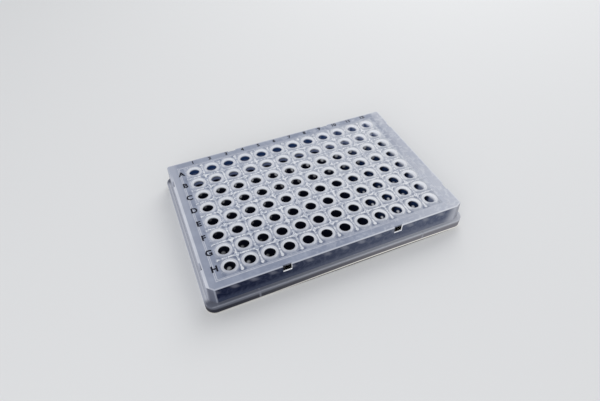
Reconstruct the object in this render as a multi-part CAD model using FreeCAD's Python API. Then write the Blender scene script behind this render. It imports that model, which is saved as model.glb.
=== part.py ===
import FreeCAD, Part
import math
import os

from FreeCAD import Vector

# A 96-well plate, moulded in one piece: a flat deck with a grid of tapered wells hanging under it,
# carried by a thin stepped skirt that stands on a flat base.
# Millimetres. The origin is at the middle of the base, +Z up, +X runs from column 1 to column 12,
# and row A is on the +Y side.

# ---- Base of the skirt: the footprint that nests and adapters take hold of
base_length = 127.76
base_width = 85.48
base_corner_radius = 4.5
base_height = 5.2            # from the floor to the ledge

# ---- Upper skirt and deck
ledge_end = 2.2              # how far the deck's edge stands in from the base, at the two ends
ledge_side = 1.89            # and along the two long sides
deck_height = 14.1           # top of the deck over the floor
deck_thickness = 1.0
wall_draft = 0.25            # how far each upper wall leans out on its way down from the deck to the ledge
wall_thickness = 0.9
key_chamfer = 3.0            # the two front corners are cut off, which tells the plate's way round
back_corner_radius = 1.2
inside_corner_radius = 0.5

# ---- Windows through the top edge of the skirt, two a side
window_width = 4.1
window_height = 3.9
window_offset = 27.0         # from the middle of the side

# ---- Wells
columns = 12
rows = 8
well_pitch = 9.0
well_sides = 10              # a well is turned in this many flats, with its corners on the true circles
mouth_diameter = 5.3
rim_diameter = 7.5
rim_height = 0.4
well_floor_diameter = 2.5
well_floor_thickness = 0.5
tube_wall = 0.45
tip_clearance = 0.7          # the tips of the wells hang this far over the floor

# ---- Low ribs on the deck, on every middle line between the wells
web_thickness = 0.9
web_height = 0.25
web_past_columns = 5.1       # how far the ribs along X run past the middles of the outer columns
web_past_rows = 3.9          # how far the ribs along Y run past the middles of the outer rows

# ---- Bead round the field of wells
bead_inset_end = 4.68        # from the deck's edge to the bead's outside, at the two ends
bead_inset_side = 3.65       # and along the two long sides
bead_thickness = 0.9
bead_height = 0.2

# ---- Ribs that stiffen the ledge from below
rib_offset = 40.6            # from the middle of the long sides
rib_thickness = 0.7

deck_length = base_length - 2 * ledge_end
deck_width = base_width - 2 * ledge_side
deck_underside = deck_height - deck_thickness
ledge_underside = base_height - wall_thickness
rim_top = deck_height + rim_height
well_floor = tip_clearance + well_floor_thickness


def centred_box(length, width, bottom, top):
    return Part.makeBox(length, width, top - bottom, Vector(-length / 2, -width / 2, bottom))


def upright_edges(block, side):
    """The corner edges of a block on its front (side -1), its back (side 1) or both (side 0)."""
    edges = [edge for edge in block.Edges if abs(edge.Vertexes[0].Z - edge.Vertexes[1].Z) > wall_thickness]
    return [edge for edge in edges if side == 0 or edge.CenterOfMass.y * side > 0]


def base_block(inset, top):
    """The base as a block with rounded corners, `inset` inside its outer faces."""
    block = centred_box(base_length - 2 * inset, base_width - 2 * inset, 0, top)
    return block.makeFillet(base_corner_radius - inset, upright_edges(block, 0))


def upper_block(inset, corner_radius, bottom, top):
    """The upper skirt as a block with leaning walls, `inset` inside its outer faces."""
    def half_sizes(height):
        spread = wall_draft * (deck_height - height) / (deck_height - base_height) - inset
        return deck_length / 2 + spread, deck_width / 2 + spread

    low_x, low_y = half_sizes(bottom)
    top_x, top_y = half_sizes(top)
    wedge = Part.makeWedge(-low_x, bottom, -low_y, -top_y, -top_x, low_x, top, low_y, top_y, top_x)
    wedge.rotate(Vector(0, 0, 0), Vector(1, 0, 0), 90)
    chamfer = key_chamfer - inset * (2 - math.sqrt(2))
    cut = wedge.makeChamfer(chamfer, upright_edges(wedge, -1))
    return cut.makeFillet(corner_radius, upright_edges(cut, 1))


def skirt_and_deck():
    """The thin stepped shell: its outside less its inside, with the ledge and the deck as the two steps."""
    outside = base_block(0, base_height).fuse(
        upper_block(0, back_corner_radius, base_height, deck_height))
    inside = base_block(wall_thickness, ledge_underside).fuse(
        upper_block(wall_thickness, inside_corner_radius, ledge_underside, deck_underside))
    return outside.cut(inside)


def windows():
    """Square notches down from the deck's edge, through the wall alone."""
    reach = wall_thickness + wall_draft
    bottom = deck_height - window_height
    y = deck_width / 2 + wall_draft - reach / 2
    x = deck_length / 2 + wall_draft - reach / 2
    in_long_sides = centred_box(window_width, reach, bottom, deck_height)
    in_short_sides = centred_box(reach, window_width, bottom, deck_height)
    notches = []
    for offset in (-window_offset, window_offset):
        notches += [in_long_sides.translated(Vector(offset, side * y, 0)) for side in (-1, 1)]
        notches += [in_short_sides.translated(Vector(side * x, offset, 0)) for side in (-1, 1)]
    return notches


def turned(profile):
    """A solid turned about the Z axis in flats, from the (radius, height) corners of its side, lowest first."""
    rings = []
    for radius, height in profile:
        turns = [2 * math.pi * (step + 0.5) / well_sides for step in range(well_sides)]
        rings.append([Vector(radius * math.cos(turn), radius * math.sin(turn), height) for turn in turns])
    faces = [Part.Face(Part.makePolygon(ring + ring[:1])) for ring in (rings[0], rings[-1])]
    for lower, upper in zip(rings, rings[1:]):
        for side in range(well_sides):
            corners = [lower[side - 1], lower[side], upper[side], upper[side - 1]]
            faces.append(Part.Face(Part.makePolygon(corners + corners[:1])))
    return Part.Solid(Part.Shell(faces))


def bore():
    """The inside of a well: one straight taper from the mouth to a flat floor."""
    return turned([(well_floor_diameter / 2, well_floor), (mouth_diameter / 2, rim_top)])


def tube():
    """The outside of a well: a tapered tube under the deck, and over it the raised rim for a sealing film."""
    taper = (mouth_diameter - well_floor_diameter) / 2 / (rim_top - well_floor)
    tip_radius = well_floor_diameter / 2 + tube_wall
    seat = deck_underside + deck_thickness / 2
    return turned([
        (tip_radius, tip_clearance),
        (tip_radius + taper * (seat - tip_clearance), seat),
        (rim_diameter / 2, seat),
        (rim_diameter / 2, rim_top)])


def well_places():
    """Middles of the wells, A1 at the back left, row by row."""
    for row in range(rows):
        for column in range(columns):
            yield Vector((column - (columns - 1) / 2) * well_pitch, ((rows - 1) / 2 - row) * well_pitch, 0)


def web():
    """The grid of low ribs that cross on the deck between the wells, each blunt at its ends."""
    top = deck_height + web_height
    along_x = centred_box(
        (columns - 1) * well_pitch + 2 * web_past_columns, web_thickness, deck_height, top)
    along_y = centred_box(
        web_thickness, (rows - 1) * well_pitch + 2 * web_past_rows, deck_height, top)
    ribs = [along_x.translated(Vector(0, (row - rows / 2) * well_pitch, 0)) for row in range(1, rows)]
    ribs += [along_y.translated(Vector((column - columns / 2) * well_pitch, 0, 0)) for column in range(1, columns)]
    return ribs[0].fuse(ribs[1:]).removeSplitter()


def bead():
    """Low raised frame on the deck, round the field of wells."""
    length = deck_length - 2 * bead_inset_end
    width = deck_width - 2 * bead_inset_side
    outer = centred_box(length, width, deck_height, deck_height + bead_height)
    inner = centred_box(
        length - 2 * bead_thickness, width - 2 * bead_thickness, deck_height, deck_height + bead_height)
    return outer.cut(inner)


def ledge_ribs():
    """Four small upright ribs under the ledge, across the step between the base wall and the upper wall."""
    rib = centred_box(rib_thickness, ledge_side, tip_clearance, base_height - wall_thickness / 2)
    y = (base_width - wall_thickness - ledge_side) / 2
    return [rib.translated(Vector(x, side * y, 0)) for x in (-rib_offset, rib_offset) for side in (-1, 1)]


def plate():
    shell = skirt_and_deck().cut(windows())
    places = list(well_places())
    one_tube = tube()
    one_bore = bore()
    tubes = [one_tube.translated(place) for place in places]
    bores = [one_bore.translated(place) for place in places]
    return shell.fuse(ledge_ribs() + [bead(), web()] + tubes).cut(bores)


os.makedirs("parts", exist_ok=True)
moulding = plate()
moulding.exportStep("parts/plate.step")
size = moulding.BoundBox
print("plate:", len(moulding.Solids), "solid,", len(moulding.Faces), "faces, valid", moulding.isValid())
print("size", round(size.XLength, 2), round(size.YLength, 2), round(size.ZLength, 2),
      "volume", round(moulding.Volume / 1000, 2), "cm3")
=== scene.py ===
# %% [markdown]
# # A ninety-six well plate
# The plate is one thin piece of moulded polypropylene: a flat deck with 96 tapered wells hanging
# under it, carried by a stepped skirt. The engineering model of the same plate gives its size and
# place, and this script lays a finer mesh over it, prints the row letters and column numbers on
# it, gives everything a finish, and sets up a small studio.

# %% Load the measured plate
import math

import bmesh
import bpy
from mathutils import Matrix, Vector
from mathutils.geometry import delaunay_2d_cdt


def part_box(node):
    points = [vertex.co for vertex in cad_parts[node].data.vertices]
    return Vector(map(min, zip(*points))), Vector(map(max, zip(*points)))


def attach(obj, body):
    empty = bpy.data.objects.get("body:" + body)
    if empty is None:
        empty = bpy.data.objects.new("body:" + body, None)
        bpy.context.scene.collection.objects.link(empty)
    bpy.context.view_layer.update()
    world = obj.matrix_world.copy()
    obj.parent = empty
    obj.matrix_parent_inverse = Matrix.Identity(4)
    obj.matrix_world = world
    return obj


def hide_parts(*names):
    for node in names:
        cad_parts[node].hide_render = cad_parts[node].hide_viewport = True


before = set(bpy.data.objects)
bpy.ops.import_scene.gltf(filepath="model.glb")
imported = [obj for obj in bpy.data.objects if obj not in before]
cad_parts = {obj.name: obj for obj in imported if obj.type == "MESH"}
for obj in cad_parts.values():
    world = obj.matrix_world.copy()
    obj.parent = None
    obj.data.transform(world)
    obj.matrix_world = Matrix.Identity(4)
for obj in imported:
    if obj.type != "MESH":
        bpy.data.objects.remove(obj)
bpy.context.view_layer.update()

metre = 0.001                       # one millimetre in metres
low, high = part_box("plate")
print("measured plate, mm:", [round((high[axis] - low[axis]) / metre, 2) for axis in range(3)])

# %% [markdown]
# ## Sizes
# A maker of lab plastics thinks in millimetres, so every size here is in millimetres and the mesh
# is scaled to metres once, at the end. The overall length, width and height come from the
# measured plate. The rest are the steps of the skirt and the deck, and they are written down
# before anything is made, because nearly every later step leans on them. The sizes of smaller
# forms stand where those forms are made.

# %% Sizes of the skirt and the deck
base_half_x = (high[0] - low[0]) / 2 / metre
base_half_y = (high[1] - low[1]) / 2 / metre
rim_top = high[2] / metre

rim_height = 0.4
deck_top = rim_top - rim_height
deck_thickness = 1.0
deck_bottom = deck_top - deck_thickness
ledge_end = 2.2                     # the deck's edge stands in from the base by this, at the ends
ledge_side = 1.89                   # and by this along the long sides
deck_half_x = base_half_x - ledge_end
deck_half_y = base_half_y - ledge_side
ledge_top = 5.2
wall = 0.9
draft = 0.25                        # the upper wall leans out by this on its way down
base_corner = 4.5
key_corner = 3.0                    # the front corners are cut off by this, along the front
right_cut_depth = 1.6               # and the right one by this along the end
back_corner = 1.2
inside_corner = 0.5
print("deck", round(2 * deck_half_x, 2), "x", round(2 * deck_half_y, 2), "mm, top at", round(deck_top, 2))

# %% Places of the wells, windows and stiffeners
columns, rows, pitch = 12, 8, 9.0
column_x = [(column - (columns - 1) / 2) * pitch for column in range(columns)]
row_y = [((rows - 1) / 2 - row) * pitch for row in range(rows)]
last_x, last_y = column_x[-1], row_y[0]
wells = [(x, y) for y in row_y for x in column_x]

window_offset, window_width = 27.0, 4.1
window_bottom = deck_top - 3.9
stiffener_offset, stiffener_width = 40.6, 0.7
stiffener_bottom = 0.7
window = (window_offset, window_width)
stiffener = (stiffener_offset, stiffener_width)
print(len(wells), "wells, the first at", wells[0])

# %% [markdown]
# ## The skirt
# The skirt is a thin stepped wall that goes round the plate. It could be a box with a smaller box
# cut out, but cutting leaves untidy faces. Here it is drawn as a cross-section of twelve corners
# that walks round the plate: from the deck's edge down the outside, under the foot and up the
# inside. Every corner of the section has its own outline, and all the outlines have the same
# number of points, so they join by clean four-sided faces.
#
# Two corners of the deck are cut off flat, so that the plate only fits a machine one way round.
# Both are at the front, and the right one is the shallower of the two.

# %% Stops along the sides
def stops(plain, features):
    """Places along a side: its middle, plain ones on both halves, and both edges of each feature."""
    places = [0] + [half * place for half in (-1, 1) for place in plain]
    places += [
        half * (offset + end * width / 2)
        for half in (-1, 1) for end in (-1, 1) for offset, width in features]
    return sorted(places)


long_stops = stops((9, 18, 34, 50, 56), (window, stiffener))
short_stops = stops((8, 16, 35), (window,))
print(len(long_stops), "stops on a long side and", len(short_stops), "on an end")


# %% Outline of one step of the skirt
corner_steps = 8


def arc(middle, radius, turns):
    """Points on a circle about `middle`, one for each angle in `turns`."""
    return [
        Vector((middle[0] + radius * math.cos(turn), middle[1] + radius * math.sin(turn)))
        for turn in turns]


def corner(quarter, half_x, half_y, size, cut_flat):
    """One corner of an outline, anticlockwise; quarter 0 is the front right one."""
    middle_x = (half_x - size) * (1 if quarter in (0, 1) else -1)
    middle_y = (half_y - size) * (1 if quarter in (1, 2) else -1)
    turns = [math.pi / 2 * (quarter - 1 + step / corner_steps) for step in range(corner_steps + 1)]
    bend = arc((middle_x, middle_y), size, turns)
    if cut_flat:
        if quarter == 0:
            bend[-1].y -= size * (1 - right_cut_depth / key_corner)
        return [bend[0].lerp(bend[-1], step / corner_steps) for step in range(corner_steps + 1)]
    return bend


def outline(half_x, half_y, front_size, back_size, front_cut):
    """The whole way round, anticlockwise from the left end of the front side."""
    ring = [Vector((x, -half_y)) for x in long_stops]
    ring += corner(0, half_x, half_y, front_size, front_cut)
    ring += [Vector((half_x, y)) for y in short_stops]
    ring += corner(1, half_x, half_y, back_size, False)
    ring += [Vector((x, half_y)) for x in reversed(long_stops)]
    ring += corner(2, half_x, half_y, back_size, False)
    ring += [Vector((-half_x, y)) for y in reversed(short_stops)]
    ring += corner(3, half_x, half_y, front_size, front_cut)
    return ring


print("a corner has", len(corner(0, deck_half_x, deck_half_y, key_corner, True)), "points")


# %% Section of the skirt
def base_step(inset, height):
    size = base_corner - inset
    return height, outline(base_half_x - inset, base_half_y - inset, size, size, False)


def upper_step(inset, height):
    spread = draft * (deck_top - height) / (deck_top - ledge_top) - inset
    front = key_corner - inset * (2 - math.sqrt(2))
    back = inside_corner if inset else back_corner
    return height, outline(deck_half_x + spread, deck_half_y + spread, front, back, True)


section = [
    upper_step(wall, deck_top),             # 0 the line where the deck begins
    upper_step(0, deck_top),                # 1 the deck's edge
    upper_step(0, window_bottom),           # 2 the sills of the windows
    upper_step(0, ledge_top),               # 3 the foot of the upper wall
    base_step(0, ledge_top),                # 4 the ledge's edge
    base_step(0, 0),                        # 5 the outside of the foot
    base_step(wall, 0),                     # 6 the inside of the foot
    base_step(wall, stiffener_bottom),      # 7 the level where the stiffeners end
    base_step(wall, ledge_top - wall),      # 8 under the ledge
    upper_step(wall, ledge_top - wall),     # 9 the inside of the upper wall
    upper_step(wall, window_bottom),        # 10 the sills again
    upper_step(wall, deck_bottom)]          # 11 under the deck
print("the section has", len(section), "corners and", len(section[0][1]), "points round the plate")

# %% [markdown]
# ## Windows and stiffeners
# Eight square windows are let into the top of the upper wall, and four small stiffeners hang
# under the ledge. Both sit exactly between two lines of points, so a window is made by leaving
# faces out and closing the sides of the gap, and a stiffener by pushing one face of the ledge down.

# %% Faces of one window and of one stiffener
skirt = bmesh.new()
grid = [[skirt.verts.new((point.x, point.y, height)) for point in ring] for height, ring in section]


def skirt_face(*places):
    """A face between places of the grid: each is a corner of the section and a point round it."""
    skirt.faces.new([grid[step][point] for step, point in places])


def close_window(here, there):
    """The cut faces of one window: its two sides, its sill and the deck's cut edge."""
    for point in (here, there):
        skirt_face(*[(step, point) for step in (0, 1, 2, 10, 11)])
    skirt_face((2, here), (2, there), (10, there), (10, here))
    skirt_face((0, here), (0, there), (11, there), (11, here))


def hang_stiffener(here, there):
    """The two sides, the inner face and the bottom of one stiffener."""
    ends = []
    for point in (here, there):
        above = grid[9][point].co
        ends.append(skirt.verts.new((above.x, above.y, stiffener_bottom)))
        skirt.faces.new([grid[7][point], grid[8][point], grid[9][point], ends[-1]])
    for step in (9, 7):
        skirt.faces.new([grid[step][here], grid[step][there], ends[1], ends[0]])


print("the skirt has", len(skirt.verts), "points and is still without faces")


# %% Join the skirt
def meets(feature, across, along, half):
    """Whether a feature lies at a place, given across the side and along it from the middle."""
    offset, width = feature
    return abs(across) > half - wall and abs(abs(along) - offset) < width / 2


around = len(grid[0])
deck_edge = section[1][1]
window_count = stiffener_count = 0
for here in range(around):
    there = (here + 1) % around
    x, y = (deck_edge[here] + deck_edge[there]) / 2
    left_out = ()
    if meets(window, y, x, deck_half_y) or meets(window, x, y, deck_half_x):
        left_out = (0, 1, 10)
        close_window(here, there)
        window_count += 1
    if meets(stiffener, y, x, deck_half_y):
        left_out = (7, 8)
        hang_stiffener(here, there)
        stiffener_count += 1
    for step in range(len(grid) - 1):
        if step not in left_out:
            skirt_face((step, here), (step, there), (step + 1, there), (step + 1, here))
print(window_count, "windows and", stiffener_count, "stiffeners")

# %% [markdown]
# ## Softened edges
# A mould has no perfectly sharp corners, and a small round on each edge is what catches the light.
# Beveling every edge that turns by more than a few degrees does this for the whole skirt at once.
# After that the skirt is kept as two plain lists, of points and of the faces between them, and
# everything that follows adds to those lists. Its two open edges, where the deck's upper and lower
# faces begin, are looked up and kept as rings.

# %% Round the edges of the skirt
edge_round = 0.2
sharp_from = math.radians(24)
bmesh.ops.recalc_face_normals(skirt, faces=skirt.faces)
sharp = [edge for edge in skirt.edges if edge.is_manifold and edge.calc_face_angle() > sharp_from]
bmesh.ops.bevel(
    skirt, geom=sharp, offset=edge_round, segments=2, profile=0.5, affect="EDGES", clamp_overlap=True)
skirt.verts.index_update()
points = [vertex.co.copy() for vertex in skirt.verts]
facets = [[vertex.index for vertex in face.verts] for face in skirt.faces]
print(len(sharp), "edges rounded;", len(facets), "faces in the skirt")


# %% Find the lines where the deck begins
def open_rings(mesh):
    """The open edges of the mesh, as rings of point numbers."""
    after = {}
    for edge in mesh.edges:
        if edge.is_boundary:
            loop = edge.link_loops[0]
            after[loop.vert.index] = loop.link_loop_next.vert.index
    rings = []
    while after:
        start, number = after.popitem()
        ring = [start]
        while number != start:
            ring.append(number)
            number = after.pop(number)
        rings.append(ring)
    return rings


deck_line, under_line = sorted(open_rings(skirt), key=lambda ring: -points[ring[0]].z)
skirt.free()
print(len(deck_line), "points on the deck's line and", len(under_line), "on the line under it")

# %% [markdown]
# ## Wells
# A well is a turned form: one profile spun round an upright line. All 96 use the same profile, from
# the middle of the well's floor up the taper, over the rounded rim and down to the deck, with a
# second one for the outside of the tube. Cutting cones out of a block would leave ragged rims, so
# rings of points are laid for each profile and joined.

# %% Helpers that lay and join rings
round_steps = 36                    # points round a well
full_circle = [2 * math.pi * step / round_steps for step in range(round_steps)]


def lay_ring(ring, height):
    """Add a ring of points at one height and give back their numbers."""
    first = len(points)
    points.extend(Vector((point[0], point[1], height)) for point in ring)
    return list(range(first, len(points)))


def join_rings(one, other):
    """Four-sided faces between two rings with as many points."""
    for step in range(len(one)):
        facets.append([one[step - 1], one[step], other[step], other[step - 1]])


def turn_profile(middle, profile):
    """Spin a profile round a well's middle, close its first ring, and give back its last ring."""
    radius, height = profile[0]
    ring = lay_ring(arc(middle, radius, full_circle), height)
    facets.append(list(ring))
    for radius, height in profile[1:]:
        following = lay_ring(arc(middle, radius, full_circle), height)
        join_rings(ring, following)
        ring = following
    return ring


print("a ring round a well has", len(full_circle), "points")

# %% Profiles of the well and its tube
mouth_radius = 2.65
rim_radius = 3.75
well_floor = 1.2
well_floor_radius = 1.25
tube_wall = 0.45
tube_root_radius = 3.2              # where the tube meets the underside of the deck
tip = 0.7                           # the height of the tube's lowest point
taper = (mouth_radius - well_floor_radius) / (rim_top - well_floor)


def bore_radius(height):
    return well_floor_radius + taper * (height - well_floor)


def tube_radius(height):
    return bore_radius(height) + tube_wall + taper * (well_floor - tip)


bore_heights = (well_floor + 0.5, 4.5, 9.0, 12.5, rim_top - 0.28)
well_profile = [(well_floor_radius - 0.4, well_floor), (well_floor_radius - 0.05, well_floor + 0.14)]
well_profile += [(bore_radius(height), height) for height in bore_heights]
well_profile += [
    (mouth_radius + out, rim_top - drop) for out, drop in ((0.02, 0.1), (0.1, 0.02), (0.2, 0.0))]
well_profile += [
    (rim_radius - inset, rim_top - drop) for inset, drop in ((0.5, 0.0), (0.24, 0.06), (0.06, 0.18))]
well_profile += [(rim_radius, deck_top + 0.06), (rim_radius + 0.06, deck_top)]
tube_profile = [
    (well_floor_radius + out, tip + rise) for out, rise in ((0.0, 0.0), (0.35, 0.12), (0.51, 0.5))]
tube_profile += [(tube_radius(height), height) for height in (7.0, 12.8)]
tube_profile += [(tube_root_radius, deck_bottom)]
print("each well has", len(well_profile) + len(tube_profile), "rings and leans by", round(taper, 3))

# %% Turn the wells and their tubes
rim_feet = {middle: turn_profile(middle, well_profile) for middle in wells}
tube_feet = {middle: turn_profile(middle, tube_profile) for middle in wells}
print(len(rim_feet), "wells turned;", len(facets), "faces so far")

# %% [markdown]
# ## Ribs and pockets
# Low ribs run on every middle line between the wells, and each ends in a round knob past the last
# of them. Seen from above, the ribs are one shape with 60 rounded square pockets, one for each
# inner well, and an outline that dips round the outer wells. A rounded square could be drawn as
# four lines and four arcs, but a circle's own formula gives it in one go: distances are raised to
# the power 8 instead of 2. The same outlines are laid three times, each a little smaller and
# higher, for rounded shoulders.

# %% Edge of a pocket and end of a rib
rib_half = 0.45                     # half the width of a rib
rib_height = 0.25
squareness = 8.0                    # 2 would make the pockets round, and a large number square
knob_past_columns = 4.6             # how far the knobs lie past the last wells, at the ends
knob_past_rows = 3.4                # and along the long sides
knob_radius = 0.9
knob_steps = 12
quarter_steps = round_steps // 4


def rib_edge(middle, first_quarter, quarters, ease):
    """Points round a well where the ribs begin, walked clockwise from a quarter turn."""
    near = pitch / 2 - rib_half + ease
    ring = []
    for step in range(quarters * quarter_steps + 1):
        turn = math.pi / 2 * (first_quarter - step / quarter_steps)
        across, up = math.cos(turn), math.sin(turn)
        reach = near / (abs(across) ** squareness + abs(up) ** squareness) ** (1 / squareness)
        ring.append((middle[0] + reach * across, middle[1] + reach * up))
    return ring


def knob(middle, turn, ease):
    """The round end of a rib that points along `turn`, walked anticlockwise."""
    radius = knob_radius - ease
    opening = math.asin((rib_half - ease) / radius)
    turns = [turn + (math.pi - opening) * (2 * step / knob_steps - 1) for step in range(knob_steps + 1)]
    return arc(middle, radius, turns)


print("a pocket has", 4 * quarter_steps, "points and a knob", knob_steps + 1)


# %% Outside of the ribs
def outer_outline(ease):
    """The ribs' outside, anticlockwise: every outer well adds a dip and the knob that comes after it."""
    front, back = (pitch / 2, -knob_past_rows), (-pitch / 2, knob_past_rows)
    right, left = (knob_past_columns, pitch / 2), (-knob_past_columns, -pitch / 2)
    facing = {front: -math.pi / 2, right: 0.0, back: math.pi / 2, left: math.pi}
    across, up = column_x[1:-1], row_y[-2:0:-1]
    # Each dip: the well, the quarter it starts at, how many quarters it spans, the side of its knob.
    dips = [((-last_x, -last_y), 1, 1, front)]
    dips += [((x, -last_y), 2, 2, front) for x in across]
    dips += [((last_x, -last_y), 2, 1, right)]
    dips += [((last_x, y), 3, 2, right) for y in up]
    dips += [((last_x, last_y), 3, 1, back)]
    dips += [((x, last_y), 4, 2, back) for x in reversed(across)]
    dips += [((-last_x, last_y), 4, 1, left)]
    dips += [((-last_x, y), 1, 2, left) for y in reversed(up)]
    ring = []
    for middle, quarter, quarters, side in dips:
        ring += rib_edge(middle, quarter, quarters, ease)
        ring += knob((middle[0] + side[0], middle[1] + side[1]), facing[side], ease)
    return ring


print("the outside has", len(outer_outline(0)), "points")

# %% Lay the ribs
shoulders = [(0.0, deck_top), (0.06, deck_top + 0.15), (0.18, deck_top + rib_height)]
inner_wells = [middle for middle in wells if abs(middle[0]) < last_x and abs(middle[1]) < last_y]
outer_wells = [middle for middle in wells if middle not in inner_wells]


def climb(outline_at):
    """Lay one outline at each shoulder of the ribs, joined; give back the lowest and the highest."""
    rings = [lay_ring(outline_at(ease), height) for ease, height in shoulders]
    for one, other in zip(rings, rings[1:]):
        join_rings(one, other)
    return rings[0], rings[-1]


def pocket_outline(middle):
    """The way to draw one inner well's pocket at any ease, anticlockwise."""
    return lambda ease: list(reversed(rib_edge(middle, 4, 4, ease)[:-1]))


rib_outside = climb(outer_outline)
rib_pockets = [climb(pocket_outline(middle)) for middle in inner_wells]
for middle, (foot, crest) in zip(inner_wells, rib_pockets):
    turned = foot[-1:] + foot[:-1]
    join_rings(rim_feet[middle], turned)
print(len(rib_pockets), "pockets between the ribs")

# %% [markdown]
# ## Bead and flat faces
# A low bead frames the whole field of wells. What is left of the deck is flat, but with many holes
# in it, which is a hard shape to divide by hand. A constrained triangulation does it: it is given
# all the rings, and it marks each triangle with the rings that it lies in, so that only those
# inside the outer ring and outside every other are kept.

# %% Lay the bead
bead_inset_x, bead_inset_y = 4.68, 3.65     # how far the bead stands in from the deck's edges
bead_width, bead_height = 0.9, 0.2
bead_corner = 1.1


def bead_ring(inset):
    """A rounded rectangle, `inset` inside the bead's outer foot."""
    half_x = deck_half_x - bead_inset_x - inset
    half_y = deck_half_y - bead_inset_y - inset
    ring = []
    for quarter in range(4):
        ring += corner(quarter, half_x, half_y, bead_corner - inset / 2, False)
    return ring


bead_profile = [(0.0, 0.0), (0.12, 0.14), (0.3, bead_height)]
bead_profile += [(bead_width - inset, height) for inset, height in reversed(bead_profile)]
bead_rings = [lay_ring(bead_ring(inset), deck_top + height) for inset, height in bead_profile]
for one, other in zip(bead_rings, bead_rings[1:]):
    join_rings(one, other)
print("the bead has", len(bead_rings), "rings of", len(bead_rings[0]), "points")


# %% Fill the flat faces
def anticlockwise(ring):
    """The same ring of point numbers, walked anticlockwise as seen from above."""
    area = sum(points[one].x * points[other].y - points[other].x * points[one].y
               for one, other in zip(ring, ring[1:] + ring[:1]))
    return ring if area > 0 else list(reversed(ring))


def fill_flat(outside, holes):
    """Triangles for the flat region inside one ring and outside the others."""
    rings = [anticlockwise(ring) for ring in [outside] + holes]
    numbers = [number for ring in rings for number in ring]
    starts = [sum(len(ring) for ring in rings[:place]) for place in range(len(rings))]
    local = [list(range(start, start + len(ring))) for start, ring in zip(starts, rings)]
    flat = [Vector(points[number][:2]) for number in numbers]
    found = delaunay_2d_cdt(flat, [], local, 0, 1e-7)
    # Of its six lists these are the triangles, each point's number in `flat`, and each triangle's rings.
    triangles, sources, owners = found[2], found[3], found[5]
    kept = [triangle for triangle, inside in zip(triangles, owners) if list(inside) == [0]]
    facets.extend([numbers[sources[place][0]] for place in triangle] for triangle in kept)
    print("filled", len(kept), "triangles between", len(rings), "rings")


fill_flat(deck_line, [bead_rings[0]])
fill_flat(bead_rings[-1], [rib_outside[0]] + [rim_feet[middle] for middle in outer_wells])
fill_flat(rib_outside[1], [crest for foot, crest in rib_pockets])
fill_flat(under_line, [tube_feet[middle] for middle in wells])

# %% [markdown]
# ## One closed moulding
# The points and faces become a mesh. The faces are turned to look outward, the mesh is shaded
# smooth with weighted normals, so that the small rounds shine and the big flats stay flat, and the
# finished piece takes the place of the engineering model of the plate.

# %% Make the plate's mesh
plate_mesh = bpy.data.meshes.new("moulded_plate")
body = bmesh.new()
corners = [body.verts.new(point * metre) for point in points]
for facet in facets:
    body.faces.new([corners[number] for number in facet])
bmesh.ops.remove_doubles(body, verts=body.verts, dist=0.002 * metre)
bmesh.ops.recalc_face_normals(body, faces=body.faces)
open_edges = sum(not edge.is_manifold for edge in body.edges)
triangle_count = sum(len(face.verts) - 2 for face in body.faces)
body.to_mesh(plate_mesh)
body.free()
print(triangle_count, "triangles,", open_edges, "open edges")

# %% Shade it and put it in the plate's place
flat_angle = 50                     # an edge that turns by more degrees than this stays an edge
plate_mesh.shade_smooth()
plate_mesh.set_sharp_from_angle(angle=math.radians(flat_angle))
plate = bpy.data.objects.new("moulded_plate", plate_mesh)
bpy.context.collection.objects.link(plate)
even_shading = plate.modifiers.new("even_shading", "WEIGHTED_NORMAL")
even_shading.keep_sharp = True
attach(plate, "root")
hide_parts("plate")
print(plate.name, "takes the place of the measured plate")

# %% [markdown]
# ## Printed letters and numbers
# Every plate of this kind marks its rows A to H and its columns 1 to 12, so that a well has an
# address. On the real piece they are thin dark ink on the deck. Text curves give the letter
# shapes, and each is turned into a very thin mesh that stands on the deck like a film of ink.
# Where a letter lies across the bead, its ink is cut along the bead and lifted over it.

# %% Lift the ink over the bead
def climb_bead(sheet):
    """Cut the ink along the left side of the bead and lift it over the bead's rounded top."""
    stations = [(bead_inset_x + inset - deck_half_x, height) for inset, height in bead_profile]
    for x, height in stations:
        everything = sheet.verts[:] + sheet.edges[:] + sheet.faces[:]
        bmesh.ops.bisect_plane(sheet, geom=everything, plane_co=(x * metre, 0, 0), plane_no=(1, 0, 0))
    for vertex in sheet.verts:
        here = vertex.co.x / metre
        for (x_one, one), (x_other, other) in zip(stations, stations[1:]):
            if x_one <= here < x_other:
                vertex.co.z += (one + (other - one) * (here - x_one) / (x_other - x_one)) * metre


print("the bead's left side runs along x =", round(bead_inset_x - deck_half_x, 2))

# %% Turn texts into ink
ink_thickness = 0.03
capital_share = 0.7                 # a capital letter's height in a text of size 1


def ink_letter(name, text, height, weight):
    """A mesh of one text as a film of ink round the origin, in millimetres."""
    curve = bpy.data.curves.new(name, "FONT")
    curve.body = text
    curve.size = height / capital_share
    curve.align_x = "CENTER"
    curve.align_y = "CENTER"
    curve.extrude = ink_thickness / 2
    curve.offset = weight
    curve.resolution_u = 4
    holder = bpy.data.objects.new(name, curve)
    letter = bpy.data.meshes.new_from_object(holder)
    bpy.data.objects.remove(holder)
    return letter


def printed(name, marks, height, weight):
    """One mesh of many small texts; each mark is (text, x, y) in millimetres."""
    sheet = bmesh.new()
    for text, x, y in marks:
        letter = ink_letter(name + text, text, height, weight)
        letter.transform(Matrix.Translation((x, y, deck_top + ink_thickness / 2)))
        letter.transform(Matrix.Scale(metre, 4))
        sheet.from_mesh(letter)
        bpy.data.meshes.remove(letter)
    bmesh.ops.remove_doubles(sheet, verts=sheet.verts, dist=0.001 * metre)
    climb_bead(sheet)
    mesh = bpy.data.meshes.new(name)
    sheet.to_mesh(mesh)
    sheet.free()
    piece = bpy.data.objects.new(name, mesh)
    bpy.context.collection.objects.link(piece)
    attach(piece, "root")
    print(name, "has", len(marks), "marks and", len(mesh.polygons), "faces")
    return piece


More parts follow.
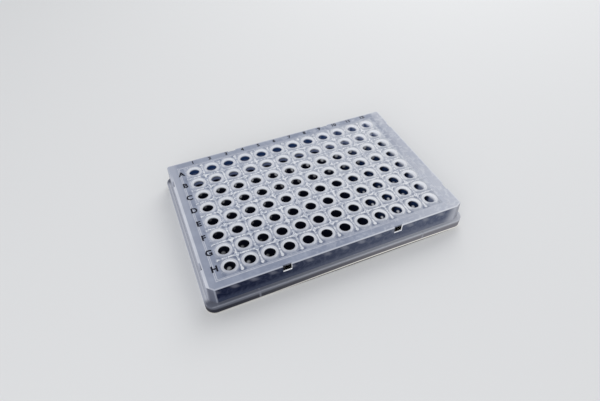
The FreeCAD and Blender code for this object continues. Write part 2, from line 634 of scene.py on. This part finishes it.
# %% Print the marks
letter_height, letter_weight = 3.0, 0.18
letters_x, letters_back = -55.9, 0.6        # the letters stand a little behind their rows' middles
number_height, number_weight = 2.1, 0.12
numbers_y, numbers_right = 38.9, 1.0        # and the numbers a little right of their columns' middles
row_marks = [(letter, letters_x, y + letters_back) for letter, y in zip("ABCDEFGH", row_y)]
column_marks = [(str(number), x + numbers_right, numbers_y) for number, x in enumerate(column_x, 1)]
row_letters = printed("row_letters", row_marks, letter_height, letter_weight)
column_numbers = printed("column_numbers", column_marks, number_height, number_weight)

# %% [markdown]
# ## Writing finishes as sums
# A procedural finish is a net of nodes. Wiring it by hand hides the idea, so here one small class
# stands for a value in the net, and plain Python sums on it add the Math nodes. Every other kind
# of node comes from one method of the finish itself. A colour is then built up as a painter would
# do it: a base first, and coats over it, each of which says how much it covers where.

# %% A value in the net
class Value:
    """One output in a finish's net of nodes."""
    def __init__(self, finish, socket):
        self.finish = finish
        self.socket = socket

    def math(self, operation, *others):
        return self.finish.node("ShaderNodeMath", {"operation": operation}, [self, *others])

    def __add__(self, other):
        return self.math("ADD", other)

    def __sub__(self, other):
        return self.math("SUBTRACT", other)

    def __rsub__(self, other):
        return self.finish.node("ShaderNodeMath", {"operation": "SUBTRACT"}, [other, self])

    def __mul__(self, other):
        return self.math("MULTIPLY", other)

    def __truediv__(self, other):
        return self.math("DIVIDE", other)

    def __rtruediv__(self, other):
        return self.finish.node("ShaderNodeMath", {"operation": "DIVIDE"}, [other, self])

    __radd__ = __add__
    __rmul__ = __mul__

    def __abs__(self):
        return self.math("ABSOLUTE")

    def root(self):
        return self.math("SQRT")

    def at_least(self, other):
        return self.math("MAXIMUM", other)

    def at_most(self, other):
        return self.math("MINIMUM", other)

    def fade(self, start, end):
        """0 where the value is at `start` and 1 where it is at `end`, smooth between."""
        return self.finish.node(
            "ShaderNodeMapRange", {"interpolation_type": "SMOOTHSTEP"}, {0: self, 1: start, 2: end})

    def within(self, start, end, soft):
        """1 where the value lies between start and end, fading over `soft` at both of them."""
        half = soft / 2
        return self.fade(start - half, start + half) * self.fade(end + half, end - half)


print("sums on values will add nodes")


# %% The finish that holds the net
class Finish:
    """A material whose net is built by calls to `node`."""
    def __init__(self, name):
        self.material = bpy.data.materials.new(name)
        self.material.use_nodes = True
        self.tree = self.material.node_tree
        self.shader = self.tree.nodes["Principled BSDF"]

    def node(self, kind, settings=None, inputs=None, output=0):
        """Add a node: its settings first, then a value or a link for each named or numbered input."""
        added = self.tree.nodes.new(kind)
        for setting, value in (settings or {}).items():
            setattr(added, setting, value)
        pairs = inputs.items() if isinstance(inputs, dict) else enumerate(inputs or [])
        for place, value in pairs:
            self.feed(added.inputs[place], value)
        return Value(self, added.outputs[output])

    def feed(self, socket, value):
        if isinstance(value, Value):
            self.tree.links.new(value.socket, socket)
        else:
            socket.default_value = value

    def blend(self, share, one, other):
        """Colour `one` turning into colour `other` as `share` goes from 0 to 1."""
        # A Mix node keeps its two colours in inputs 6 and 7 and their mixture in output 2.
        return self.node("ShaderNodeMix", {"data_type": "RGBA"}, {0: share, 6: one, 7: other}, 2)

    def coated(self, base, *coats):
        """A base colour with coats laid over it, each given as its cover and its colour."""
        for cover, coat in coats:
            base = self.blend(cover, base, coat)
        return base

    def surface(self, sockets):
        """Give the shader's own sockets their values or their links."""
        for name, value in sockets.items():
            self.feed(self.shader.inputs[name], value)

    def tell(self, what):
        """Print how far the net has grown."""
        print(what + ":", len(self.tree.nodes), "nodes in", self.material.name)


def colour(red, green, blue):
    """A colour given as it looks on a screen, from 0 to 255, as the shader wants it."""
    parts = [part / 255 for part in (red, green, blue)]
    linear = [part / 12.92 if part <= 0.04045 else ((part + 0.055) / 1.055) ** 2.4 for part in parts]
    return (*linear, 1.0)


print("a grey of 128 is", round(colour(128, 128, 128)[0], 3), "to the shader")

# %% [markdown]
# ## Milky polypropylene
# Natural polypropylene is milky and a little blue, and light passes through it. Where walls stand
# behind walls it looks nearly white, and where a single thin wall hangs over an empty space it looks
# dark blue. That light and shade is painted into the colour here from the place on the plate, with
# painted highlights, glints and a faint glow besides, so it holds from every side and costs little
# to render.
# All places are in millimetres: x runs to the right, y to the back and z up.

# %% Measure the place on the plate
natural = Finish("natural_polypropylene")
place = natural.node("ShaderNodeTexCoord", output=3)    # output 3 is the place on the piece itself
millimetres = natural.node("ShaderNodeVectorMath", {"operation": "SCALE"}, {0: place, 3: 1 / metre})
split = natural.node("ShaderNodeSeparateXYZ", {}, [millimetres]).socket.node
x, y, z = (Value(natural, split.outputs[axis]) for axis in range(3))
# from 0 at the left end to 1 at the right; the painted light of `shade` changes with it
rightward = x.fade(-64, 64)
backward = y.fade(-34, 30)
in_from_end = deck_half_x - abs(x)
in_from_side = deck_half_y - abs(y)
in_from_edge = in_from_end.at_most(in_from_side)


def noise(scale, detail, distortion=0.0):
    """Cloudy noise from 0 to 1 with about `scale` clouds to the millimetre."""
    return natural.node("ShaderNodeTexNoise", {}, {
        "Vector": millimetres, "Scale": scale, "Detail": detail, "Distortion": distortion})


clouds = noise(0.14, 3.0)
mottle = noise(0.9, 4.0)
natural.tell("places and clouds")

# %% Measure from the cut-off corners
# The cut takes `key_corner` off the front and `cut_depth` off the end. The back corners are whole,
# so there the distance from a cut is made too large to matter.
cut_depth = key_corner - x.fade(-1, 1) * (key_corner - right_cut_depth)
cut_length = (cut_depth * cut_depth + key_corner ** 2).root()
in_from_cut = in_from_end * cut_depth + in_from_side * key_corner - cut_depth * key_corner
in_from_cut = in_from_cut / cut_length + y.fade(-1, 1) * 9.0
in_from_rim = in_from_edge.at_most(in_from_cut)
natural.tell("cut-off corners")


# %% Measure from the nearest well
def from_middle(value, count):
    """Distance from the nearest well's middle along one side of the field, with its sign."""
    shifted = value + count * pitch / 2
    return shifted.math("FLOORED_MODULO", pitch) - pitch / 2


field_half_x, field_half_y = columns * pitch / 2, rows * pitch / 2
in_field = x.within(-field_half_x, field_half_x, 0.4) * y.within(-field_half_y, field_half_y, 0.4)
from_well_x = from_middle(x, columns)
from_well_y = from_middle(y, rows)
from_well = (from_well_x * from_well_x + from_well_y * from_well_y).root()
to_right = from_well_x / from_well
to_back = from_well_y / from_well
print("the field of wells is", 2 * field_half_x, "x", 2 * field_half_y, "mm")

# %% [markdown]
# ### The deck
# The border is a cloudy blue grey, painted paler towards the front right where more light falls on
# it. Every edge of it carries a painted highlight and is paler than the flat beside it: the deck's
# edge, with a broader line along the left end, and the bead's two shoulders.

# %% Colours of the border
def shade(left, right):
    """A colour that turns slowly from the left end to the right end: painted light along the plate."""
    return natural.blend(rightward, colour(*left), colour(*right))


# painted light: the border pales towards the front right, at both ends and a little along the back
border_light = x.fade(2, 66) * (1 - y.fade(-30, 40) * 0.75)
border_light = border_light.at_least(x.fade(field_half_x, 59) * 0.8)
border_light = border_light.at_least(x.fade(-55, -59) * (0.15 + y.fade(-30, 40) * 0.4))
border_light = border_light.at_least(y.fade(field_half_y, 38) * x.fade(30, -10) * 0.16)
smears = noise(0.4, 3.0, 0.8).fade(0.45, 0.7) * (0.12 + rightward * 0.35)
left_edge_highlight = x.within(-deck_half_x + 0.2, -deck_half_x + 1.4, 0.4) * y.fade(field_half_y, 24)
in_from_bead = (in_from_end - bead_inset_x).at_most(in_from_side - bead_inset_y)
bead_shoulder_highlights = in_from_bead.within(-0.05, 0.3, 0.2).at_least(in_from_bead.within(0.6, 0.95, 0.2))
# painted highlights along the deck's edge, the left edge and the bead's two shoulders
border = natural.coated(
    natural.blend(border_light, colour(138, 145, 164), colour(194, 197, 207)),
    (clouds.fade(0.4, 0.65) * 0.3, colour(172, 179, 195)),
    (smears, shade((176, 182, 198), (222, 224, 229))),
    (in_from_rim.fade(0.75, 0.35) * 0.75, shade((188, 191, 203), (228, 230, 235))),
    (left_edge_highlight * (0.4 + clouds * 0.6), colour(222, 224, 231)),
    (bead_shoulder_highlights * (0.2 + mottle * 0.9) * (1 - rightward * 0.5), colour(214, 216, 224)))
natural.tell("border")

# %% [markdown]
# Inside the bead each cell has a pocket with painted shade in its corners, and the ribs have a crest
# mottled with painted glints, with small light and dark specks over both. The painted shade is
# darkest in the front rows, where no plastic stands behind the pockets, the ribs' front ends carry a
# painted highlight, and the right end of the field is calm.

# %% Colours of the pockets and ribs
on_crest = z.fade(deck_top + 0.04, deck_top + 0.16)
right_end = x.fade(51, field_half_x)
# painted shade in the pocket corners, darkest at the front and lighter at both ends of the field
corner_shade = abs(from_well_x).at_most(abs(from_well_y)).fade(2.0, 3.1) * from_well.fade(3.85, 4.75)
corner_shade = corner_shade * (0.25 + mottle * 1.2) * (1 - right_end * 0.8) * (1 - x.fade(-51, -53) * 0.6)
corner_shade_colour = natural.blend(
    backward, shade((80, 90, 116), (142, 149, 166)), shade((134, 142, 162), (176, 181, 192)))
pocket = natural.blend(corner_shade, shade((180, 185, 199), (200, 203, 211)), corner_shade_colour)
rib_end_highlight = abs(from_well_x).fade(pitch / 2 - 0.7, pitch / 2 - 0.25) * y.within(-36.8, -33.2, 0.8)
# painted glints mottle the crest, and a painted highlight lies on the ribs' front ends
crest = natural.coated(
    shade((158, 166, 184), (182, 186, 198)),
    (noise(0.55, 2.0, 1.5).fade(0.38, 0.62), shade((232, 234, 238), (234, 235, 239))),
    (rib_end_highlight * 0.8, colour(228, 230, 235)),
    (right_end * 0.6, colour(190, 194, 205)))
specks = noise(1.5, 2.0)
# painted shade over the pockets of the front rows, stronger on the left, mostly sparing the crests
front_shade = y.fade(-8, -34) * (0.6 - rightward * 0.3) * (1 - on_crest * 0.85)
field = natural.coated(
    natural.blend(on_crest, pocket, crest),
    (specks.fade(0.58, 0.73) * 0.75, colour(238, 239, 242)),
    (specks.fade(0.42, 0.28) * 0.6, shade((98, 106, 130), (140, 146, 163))),
    (front_shade, colour(108, 116, 138)))
natural.tell("pockets and ribs")

# %% [markdown]
# Each rim has a lip round the mouth, a painted highlight along its shoulder and on the lit side of
# the lip, and, on its front side, an arc of painted shade where its outer face turns down into the
# pocket. The rims towards the front left get painted shade too.

# %% Colours of the rims
lip = from_well.fade(3.3, 2.9)
lit_lip = (to_right * rightward + to_back).fade(-0.6, 0.8)
# a gap in the lip's painted highlight straight behind the mouth, mostly in the front left rows
highlight_gap_at_back = abs(to_right).fade(0.5, 0) * to_back.fade(0, 0.5)
lit_lip = lit_lip * (1 - highlight_gap_at_back * (0.5 - backward * 0.25) * (1 - rightward * 0.6))
# painted highlights on the shoulder and the lit side of the lip, painted shade towards the front left
rim = natural.coated(
    shade((196, 199, 209), (208, 211, 218)),
    (lip, shade((188, 190, 200), (198, 200, 208))),
    (from_well.fade(3.15, 3.4), shade((216, 218, 225), (226, 228, 232))),
    (lit_lip * from_well.fade(3.5, 3.1) * 0.75, shade((222, 224, 228), (234, 234, 236))),
    (y.fade(-2, -34) * x.fade(40, -50) * 0.35, colour(164, 167, 178)))
front_arc_shade = (to_back * 0.97 + to_right * 0.26).fade(-0.74, -0.93)
front_arc_shade = front_arc_shade * from_well.fade(3.0, 3.4) * from_well.fade(4.3, 4.0)
field = natural.coated(
    field,
    (from_well.fade(rim_radius + 0.15, rim_radius + 0.01), rim),
    (front_arc_shade * 0.6, colour(158, 164, 180)))
deck = natural.blend(in_field, border, field)
natural.tell("rims")

# %% [markdown]
# ### Inside the wells
# A well is a window into the dark, and all of it is painted light and shade: its wall is painted
# lit for the first millimetre and falls away to a painted near-black, which turns navy towards the
# right. The last row stays blue, the row before it has a soft painted band of light half way down,
# and the last column has painted light on its right side. Elsewhere single painted glints lie on
# the wall, and the wells at the back right are painted pale on their left side.

# %% The painted light that runs down a well's wall
depth = rim_top - z
toward_right = to_right.fade(0, 1)
lit_depth = 0.1 + (to_back.fade(-0.2, 0.8) * 0.35).at_least(toward_right * x.fade(20, 56) * 0.5)
falloff = 0.75 + backward * 0.6 - y.fade(26, 31) * 0.25
falloff = falloff - x.within(-28, 22, 30) * y.fade(20, 0) * 0.2
falloff = falloff + toward_right * (x.fade(-5, 32) * 0.45 + x.fade(43, 50) * 1.2)
# painted shade: below the lit depth the wall fades to dark
dark = ((depth - lit_depth) / falloff).fade(0, 1)


def patch(rightness, patch_depth, size):
    """A painted glint: a soft round patch of light on the wall, on the side that `rightness` from -1 to 1
    points to.
    """
    backness = (1 - rightness * rightness).root()
    facing = from_well_x * rightness + from_well_y * backness
    aside = from_well_x * backness - from_well_y * rightness
    lower = depth - patch_depth
    reach = (aside * aside * 1.1 + lower * lower).root()
    return (reach / size).fade(1, 0.3) * facing.fade(0.2, 0.8)


# four painted glints, high and low, on the left and on the right of the plate
high_left = patch(-0.3 - x.fade(-50, -30) * 0.2, 1.9, 1.0)
high_left = high_left * x.within(-44, -4, 36) * y.fade(-24, 14) * y.fade(24, 16)
high_right = patch(0.85 - x.fade(-4, 42) * 0.9, 1.9, 1.25)
high_right = high_right * x.within(-16, 45, 12) * y.fade(0, 13) * y.fade(22, 15)
low_left = patch(-0.15 - x.fade(-50, -32) * 0.3, 5.0, 1.5)
low_left = low_left * x.fade(-22, -42) * y.fade(-12, -30)
low_right = patch(0.95 - x.fade(25, 50) * 0.3, 3.7 + x.fade(32, 41) * 0.8, 1.2)
low_right = low_right * x.within(21, 45, 9) * y.fade(2, -24)
natural.tell("light in the wells")

# %% Colours inside the wells
row_before_last = last_y - pitch
band = abs(depth - 1.9 - (y - row_before_last) * 0.2)
right_wall_light = x.fade(43, 49) * to_right.fade(0.35, 0.85) * (1 - y.fade(-18, 12) * 0.45)
back_left_light = x.fade(5, 50) * y.fade(17, 25) * to_right.fade(0.3, -0.3)
gleam = colour(204, 206, 212)
# the painted dark deep in a well, with its painted bands of light, lit sides and glints
deep = natural.coated(
    colour(7, 9, 18),
    (x.fade(10, 38) * to_right.fade(-0.2, 0.7), colour(17, 31, 58)),
    (y.fade(24, 31), colour(26, 44, 76)),
    (band.fade(1.15, 0.2) * y.fade(15, 21), colour(76, 84, 108)),
    (x.fade(14, 44) * y.fade(6, 26) * toward_right * 0.5, colour(100, 110, 134)),
    (right_wall_light, colour(97, 105, 127)),
    (back_left_light * 0.35, colour(190, 194, 204)),
    (high_left * 0.42, gleam),
    (high_right * 0.42, gleam),
    (low_left * 0.6, gleam),
    (low_right * 0.9, gleam))
# painted light at the top of the wall, fading into the painted dark below
bore = natural.blend(dark, shade((202, 205, 212), (212, 214, 220)), deep)
in_bore = (from_well - bore_radius(z)).fade(0.3, 0.16) * depth.fade(0, 0.12)
in_bore = in_field * in_bore * z.fade(well_floor - 0.3, well_floor - 0.1)
natural.tell("wells")

# %% [markdown]
# ### The skirt
# The skirt is one thin wall. The upper wall is painted deep blue and shaded on the left, and painted
# paler to the right and lower down, with a pale ghost of each tube behind it painted as light seen
# through the wall and a painted gleam on the right end. Its top edge and the cut-off corners carry
# painted highlights, and its foot is paler.

# %% Colours of the upper wall
streaks = noise(0.3, 4.0, 2.0).fade(0.4, 0.7)
ghost_pitch = 8.35
first_ghost = 50.6                  # how far left of the plate's middle the first one stands
ghost_place = x + first_ghost + ghost_pitch / 2 - (13.0 - z) * 0.6
ghost_x = ghost_place.math("FLOORED_MODULO", ghost_pitch) - ghost_pitch / 2
# painted light: a tube behind the wall, seen through it
tube_ghost_light = abs(ghost_x).fade(2.5, 0.3) * z.within(11.3, 13.7, 1.6) * (0.35 + clouds * 0.8)
from_corner_edge = (in_from_end - key_corner).at_least(in_from_side - cut_depth)
end_gleam = (x - (z - 10.0) * 0.15).fade(52, 59)
# painted shade and light, a painted gleam at the right end, painted highlights on the corners and top
# edge
upper = natural.coated(
    shade((0, 12, 44), (86, 94, 116)),
    (z.fade(9.0, 5.6), shade((60, 67, 88), (124, 129, 145))),
    (streaks * 0.35, shade((70, 76, 98), (136, 140, 154))),
    (tube_ghost_light, shade((100, 102, 116), (140, 144, 156))),
    (end_gleam * 0.85, colour(196, 198, 206)),
    (from_corner_edge.fade(0.15, -0.05) * 0.8, shade((116, 120, 135), (164, 166, 175))),
    (abs(from_corner_edge).fade(0.5, 0.2) * 0.6, colour(166, 170, 183)),
    (z.fade(13.65, 14.05), shade((176, 181, 196), (206, 208, 216))))
natural.tell("upper wall")

# %% [markdown]
# The foot is darker towards the bottom, with a painted highlight on the ledge's edge and a thin
# painted lit line near the floor, which rises a little towards the middle and has a painted shadow
# below it. A stiffener shows through as a pale upright line of painted light.

# %% Colours of the foot
foot_height = z - x.fade(-45, -5) * 0.8
ledge_edge = z.within(4.85, 5.25, 0.2) * in_from_edge.fade(-1.2, -1.6)
middle_rise = (x - 15.0) / 50.0
lit_line = (1.5 - middle_rise * middle_rise * 0.8).at_least(0.7)
above_line = z - lit_line
foot_glow = above_line.fade(0.3, -0.1)
shadow_below_line = above_line.fade(-0.6, -0.85)
stiffener_line = abs(abs(x) - stiffener_offset).fade(0.6, 0.2) * z.fade(0.8, 1.2)
# painted highlight on the ledge's edge, a painted lit line with painted shadow below, the stiffener as
# painted light
foot = natural.coated(
    shade((46, 47, 57), (134, 132, 138)),
    (foot_height.fade(2.6, 4.3), shade((106, 109, 121), (186, 188, 195))),
    (ledge_edge * 0.7, shade((150, 153, 164), (206, 208, 215))),
    (foot_glow, shade((178, 176, 172), (228, 225, 218))),
    (shadow_below_line * 0.85, colour(36, 36, 42)),
    (stiffener_line * 0.6, shade((134, 136, 148), (176, 178, 185))))
natural.tell("foot")

# %% [markdown]
# The end walls and the cut faces of the windows are painted lit, paler than the long walls, with a
# painted highlight along the left end, and the space under the deck is painted with shade: darker
# near the deck, and dark behind the windows.

# %% Colours of the ends, the windows and the underside
# painted light on the end walls and a painted highlight along the left end
end_wall = in_from_end.fade(0.9, 0) * in_from_side.fade(1, 4)
left_sheen = x.within(-deck_half_x - 1.35, -deck_half_x - 0.75, 0.4)
end_wall_light = natural.coated(shade((206, 209, 220), (168, 172, 185)), (left_sheen, colour(236, 238, 244)))
from_window = abs(abs(x) - window_offset).at_most(abs(abs(y) - window_offset))
window_cut = in_from_edge.within(0.1, wall - 0.05, 0.1)
window_cut = window_cut * z.within(window_bottom - 0.3, deck_top - 0.1, 0.2)
window_cut = window_cut * from_window.fade(window_width / 2 + 0.4, window_width / 2 + 0.2)
# painted light on the cut faces of the windows, less at the left end
cut_face_light = natural.blend(x.fade(-56, -60), colour(230, 231, 234), colour(158, 162, 175))
skirt_paint = natural.coated(
    foot,
    (z.fade(ledge_top - 0.05, ledge_top + 0.2), upper),
    (end_wall * 0.75, end_wall_light),
    (window_cut * 0.9, cut_face_light))
# painted shade under the deck: darker near the deck, and a painted shadow behind the windows
shadow = in_from_edge.fade(11, 7) * z.fade(1.2, 3.0) * x.fade(-60, -50)
under = natural.coated(
    colour(150, 158, 176),
    (z.fade(12, 2), colour(176, 182, 196)),
    (shadow, colour(24, 28, 40)))
natural.tell("ends and underside")

# %% [markdown]
# ### One finish for the whole plate
# The parts are laid over each other by place. Light scatters in the plastic, so its surface is
# satin, and a faint grain from the mould keeps the flats from looking like paint. The lips, the
# bores, the cut faces and the line on the foot also glow a little of their own colour: painted light,
# an emission that stands in for the light that milky plastic lets through under a lamp.

# %% Put the parts of the plate together
on_wall = in_from_rim.fade(1.25, 1.05) * z.fade(deck_top - 0.02, deck_top - 0.3)
paint = natural.coated(
    under,
    (z.fade(deck_bottom + 0.2, deck_top - 0.2), deck),
    (on_wall, skirt_paint),
    (in_bore, bore))
# painted light as emission: the lit lips, the bores, the window cuts and the lit line on the foot
glow = (in_field * lip * lit_lip * z.fade(deck_top, deck_top + 0.3) * 0.1).at_least(in_bore)
glow = glow.at_least(window_cut).at_least(foot_glow * (1 - shadow_below_line) * on_wall * 0.6)
grain = natural.node("ShaderNodeBump", {}, {
    "Strength": 0.15, "Distance": 0.1 * metre, "Height": noise(1.6, 3.0)})
natural.surface({
    "Base Color": paint,
    "Emission Color": natural.blend(glow, colour(0, 0, 0), paint),
    "Emission Strength": 0.5,
    "Roughness": 0.3 + clouds * 0.12 + mottle * 0.08,
    "Specular IOR Level": 0.05,
    "Normal": grain})
plate.data.materials.append(natural.material)
natural.tell("whole plate")

# %% [markdown]
# ## Ink
# Pad-printed ink is thin, dark and a little uneven, and it shines less than the plastic. One
# cloudy noise between two near-blacks is enough for it.

# %% Colour of the ink
ink = Finish("printing_ink")
ink_place = ink.node("ShaderNodeTexCoord", output=3)
ink_cover = ink.node("ShaderNodeTexNoise", {}, {"Vector": ink_place, "Scale": 900.0, "Detail": 3.0})
ink.surface({
    "Base Color": ink.blend(ink_cover, colour(6, 8, 16), colour(30, 34, 50)),
    "Roughness": 0.5 + ink_cover * 0.2,
    "Specular IOR Level": 0.15})
for piece in (row_letters, column_numbers):
    piece.data.materials.append(ink.material)
ink.tell("ink")

# %% [markdown]
# ## A small studio
# The plate lies on a pale floor under plain soft light: an even sky from all round, one large
# softbox behind it on the right and a weaker one in front on the left. A small strong lamp would
# throw hard shadows into the wells, so there is none.

# %% Floor
floor_half = 3.0                    # in metres
floor_mesh = bpy.data.meshes.new("floor")
sheet = bmesh.new()
bmesh.ops.create_grid(sheet, x_segments=1, y_segments=1, size=floor_half)
sheet.to_mesh(floor_mesh)
sheet.free()
floor = bpy.data.objects.new("floor", floor_mesh)
bpy.context.collection.objects.link(floor)
paper = Finish("pale_paper")
paper.surface({"Base Color": (0.8, 0.8, 0.8, 1), "Roughness": 0.9})
floor_mesh.materials.append(paper.material)
print("the floor is", 2 * floor_half, "metres across")

# %% Sky
world = bpy.data.worlds.new("studio")
bpy.context.scene.world = world
world.use_nodes = True
sky = world.node_tree.nodes["Background"]
sky.inputs["Color"].default_value = (0.95, 0.97, 1.0, 1)
sky.inputs["Strength"].default_value = 0.6
print("the sky has a strength of", round(sky.inputs["Strength"].default_value, 2))


# %% Softboxes
def softbox(name, place, size, power):
    """A square lamp that looks at the plate."""
    lamp = bpy.data.lights.new(name, "AREA")
    lamp.shape = "SQUARE"
    lamp.size = size
    lamp.energy = power
    holder = bpy.data.objects.new(name, lamp)
    holder.location = place
    holder.rotation_euler = (-Vector(place)).to_track_quat("-Z", "Y").to_euler()
    bpy.context.collection.objects.link(holder)
    print(name, "at", place, "with", power, "watts")


softbox("key", (0.35, 0.35, 0.5), 0.5, 1.7)
softbox("fill", (-0.35, -0.45, 0.35), 0.5, 1.2)

# %% [markdown]
# ## Camera
# The camera stands in front on the left and looks down at the plate through a wide lens, so that
# the near wells open up to it and the far ones are seen more from the side.

# %% Camera
lens = bpy.data.cameras.new("camera")
lens.lens = 27.09
lens.sensor_width = 36.0
lens.clip_start = 0.01
camera = bpy.data.objects.new("camera", lens)
camera.location = (-0.06377, -0.14620, 0.16965)
camera.rotation_euler = [math.radians(angle) for angle in (43.748, 0.580, -22.705)]
bpy.context.collection.objects.link(camera)
bpy.context.scene.camera = camera
bpy.context.scene.view_settings.view_transform = "Standard"
print("camera at", [round(part, 3) for part in camera.location])
